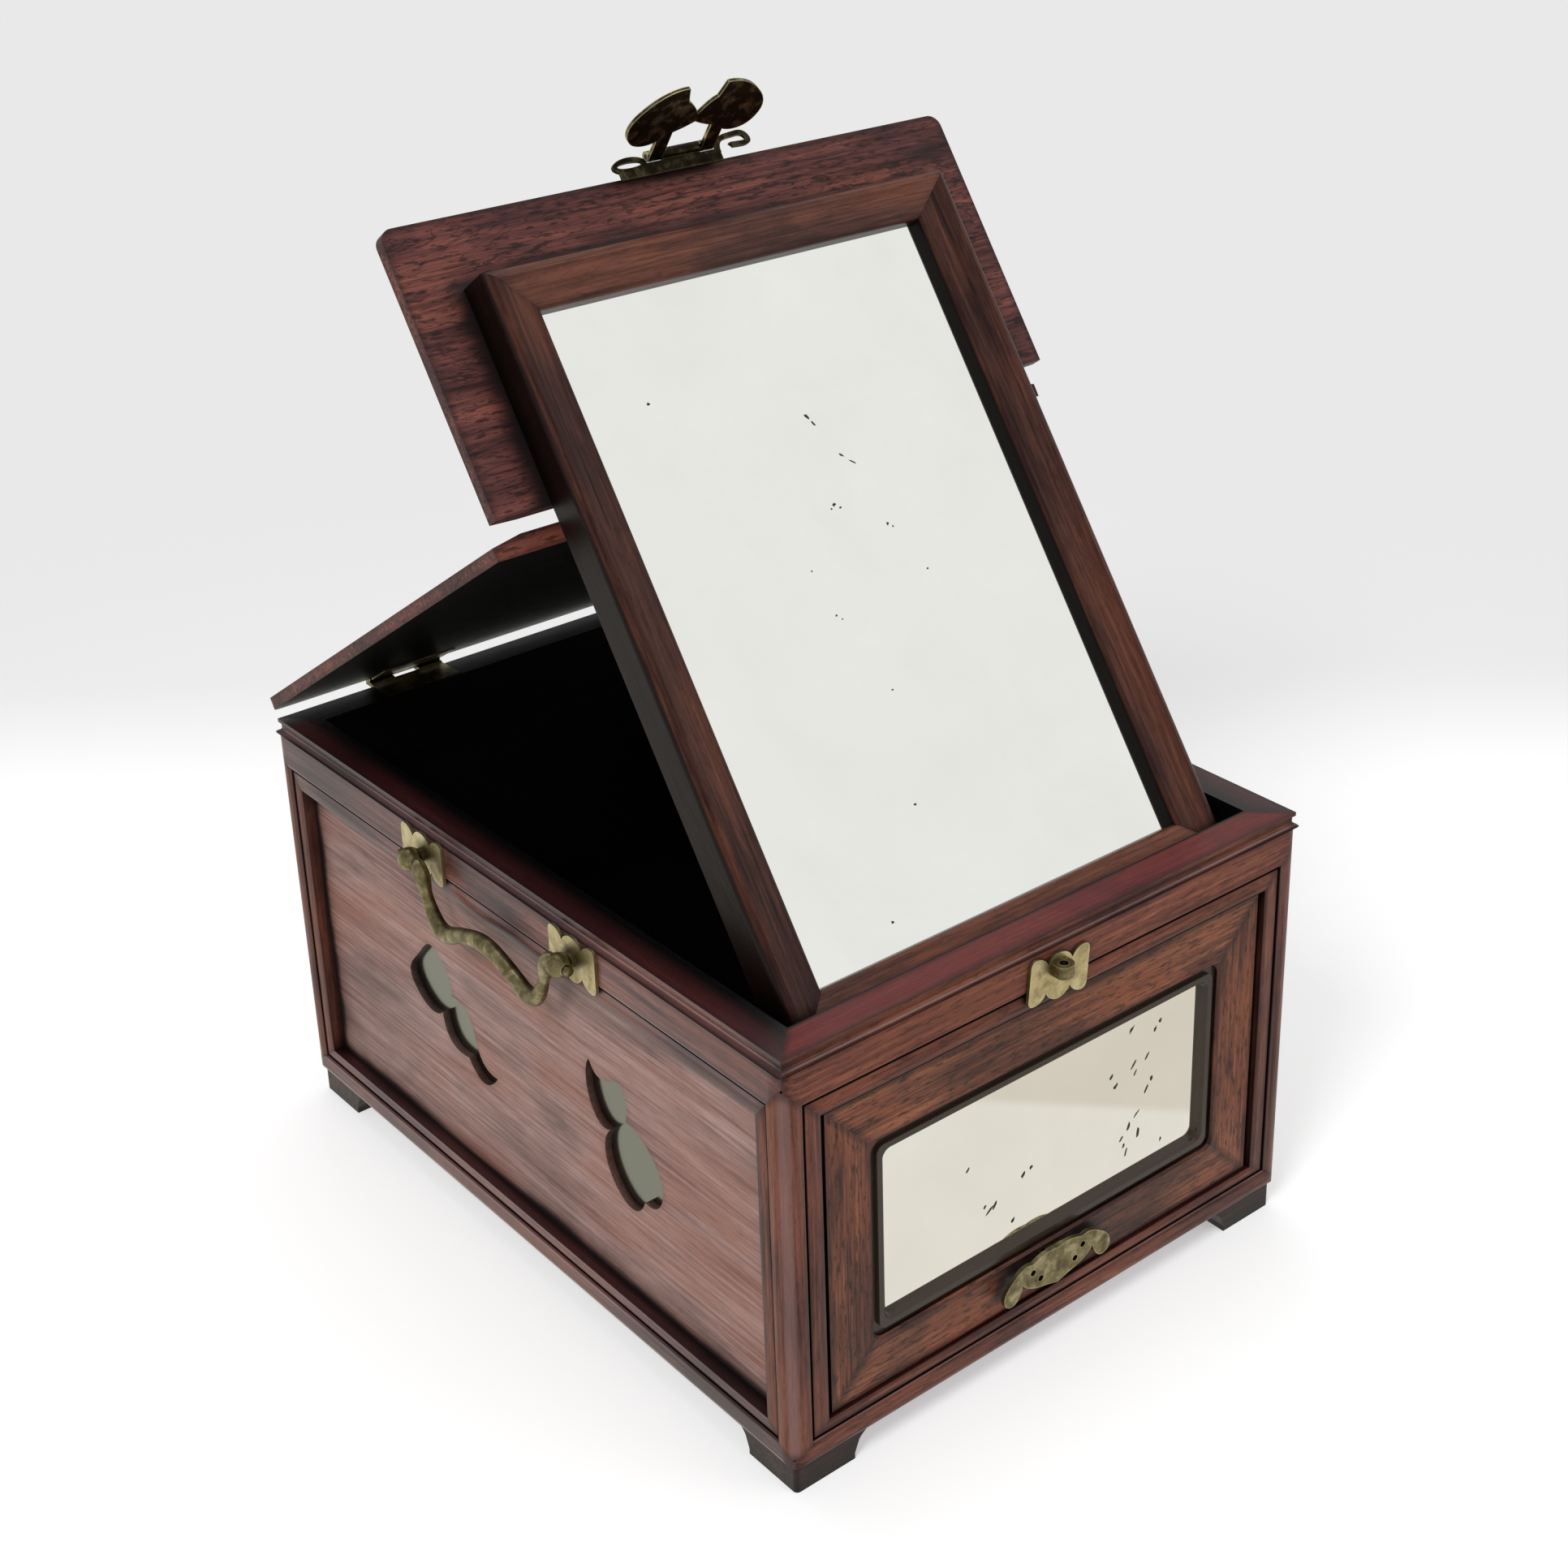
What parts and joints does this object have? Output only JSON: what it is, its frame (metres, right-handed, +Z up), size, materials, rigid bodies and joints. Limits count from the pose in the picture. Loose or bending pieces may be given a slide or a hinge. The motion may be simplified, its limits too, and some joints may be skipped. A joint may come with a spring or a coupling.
{
  "type": "vanity box",
  "caption": "Low hardwood vanity box with a two-leaf lid that folds to prop up a framed mirror, a mirrored drawer, pierced side panels, bail handles and a lobed hasp.",
  "frame": {"origin": "on the floor, under the middle of the case's footprint, leaving out the lid's back edge, hinges and handles", "axes": "+Z up; the drawer front faces -Y; +X to the right seen from the front"},
  "size_m": [0.215, 0.274, 0.3502],
  "materials": {
    "frame_wood": "oiled dark red-brown rosewood, worn satin",
    "drawer_wood": "dark rosewood with orange-brown streaks, satin",
    "panel_wood": "rosewood with lengthwise grain, faded to mauve-brown, satin",
    "mirror_frame_wood": "dark rosewood moulding, satin",
    "inner_wood": "dark stained softwood, matte",
    "black_board": "black lacquered wood",
    "mirror_plate": "silvered glass with light foxing",
    "aged_brass": "aged pale brass, satin",
    "dark_bronze": "dark olive brass with bright worn edges"
  },
  "bodies": {
    "case": {"post_front_left": "frame_wood", "post_front_right": "frame_wood", "post_back_left": "frame_wood", "post_back_right": "frame_wood", "top_rail_front": "frame_wood", "top_rail_back": "frame_wood", "top_rail_left": "frame_wood", "top_rail_right": "frame_wood", "bottom_rail_front": "frame_wood", "bottom_rail_back": "frame_wood", "bottom_rail_left": "frame_wood", "bottom_rail_right": "frame_wood", "side_panel_left": "panel_wood", "side_panel_right": "panel_wood", "side_mirror_left": "mirror_plate", "side_mirror_right": "mirror_plate", "back_panel": "panel_wood", "bottom_board": "inner_wood", "compartment_floor": "inner_wood", "compartment_front": "inner_wood", "drawer_guides": "inner_wood", "foot_front_left": "frame_wood", "foot_front_right": "frame_wood", "foot_back_left": "frame_wood", "foot_back_right": "frame_wood", "staple_plate": "aged_brass", "staple": "aged_brass", "handle_plates": "aged_brass", "handle_posts": "aged_brass", "hinge_leaves_case": "aged_brass"},
    "rear_leaf": {"lid_rear_leaf": "panel_wood", "hinge_leaves_lid": "aged_brass", "fold_hinge_leaves_rear": "aged_brass", "hinge_pins": "aged_brass"},
    "front_leaf": {"lid_front_leaf": "panel_wood", "fold_hinge_leaves_front": "aged_brass", "mirror_frame_left": "mirror_frame_wood", "mirror_frame_right": "mirror_frame_wood", "mirror_frame_top": "mirror_frame_wood", "mirror_frame_foot": "mirror_frame_wood", "mirror_glass": "mirror_plate", "mirror_backboard": "black_board", "hasp_base": "dark_bronze", "hasp_pin": "dark_bronze"},
    "hasp": {"hasp_plate": "dark_bronze"},
    "drawer": {"drawer_front_left": "drawer_wood", "drawer_front_right": "drawer_wood", "drawer_front_top": "drawer_wood", "drawer_front_bottom": "drawer_wood", "drawer_liner": "black_board", "drawer_mirror": "mirror_plate", "drawer_backing": "black_board", "drawer_side_left": "inner_wood", "drawer_side_right": "inner_wood", "drawer_back": "inner_wood", "drawer_bottom": "inner_wood", "bat_pull_pin": "aged_brass"},
    "bat_pull": {"bat_pull": "aged_brass"},
    "bail_left": {"bail_left": "aged_brass"},
    "bail_right": {"bail_right": "aged_brass"}
  },
  "joints": [
    {"name": "lid_hinge", "type": "hinge", "parent": "case", "child": "rear_leaf", "pos_m": [0, 0.1345, 0.1442], "axis": [1, 0, 0], "range_deg": [0, 33.5]},
    {"name": "lid_fold", "type": "hinge", "parent": "rear_leaf", "child": "front_leaf", "pos_m": [0, -0.01262, 0.24877], "axis": [1, 0, 0], "range_deg": [0, 91.5]},
    {"name": "hasp_swing", "type": "hinge", "parent": "front_leaf", "child": "hasp", "pos_m": [0, 0.0302, 0.32841], "axis": [1, 0, 0], "range_deg": [-105, 20]},
    {"name": "drawer_slide", "type": "slide", "parent": "case", "child": "drawer", "axis": [0, -1, 0], "range_m": [0, 0.15]},
    {"name": "bat_swing", "type": "hinge", "parent": "drawer", "child": "bat_pull", "pos_m": [-0.0013, -0.1313, 0.0346], "axis": [-1, 0, 0], "range_deg": [0, 60]},
    {"name": "bail_left_swing", "type": "hinge", "parent": "case", "child": "bail_left", "pos_m": [-0.10385, 0, 0.131], "axis": [0, 1, 0], "range_deg": [0, 165]},
    {"name": "bail_right_swing", "type": "hinge", "parent": "case", "child": "bail_right", "pos_m": [0.10385, 0, 0.131], "axis": [0, -1, 0], "range_deg": [0, 165]}
  ],
  "couplings": [
    {"joint": "lid_fold", "follows": "lid_hinge", "ratio": 2.7313}
  ]
}
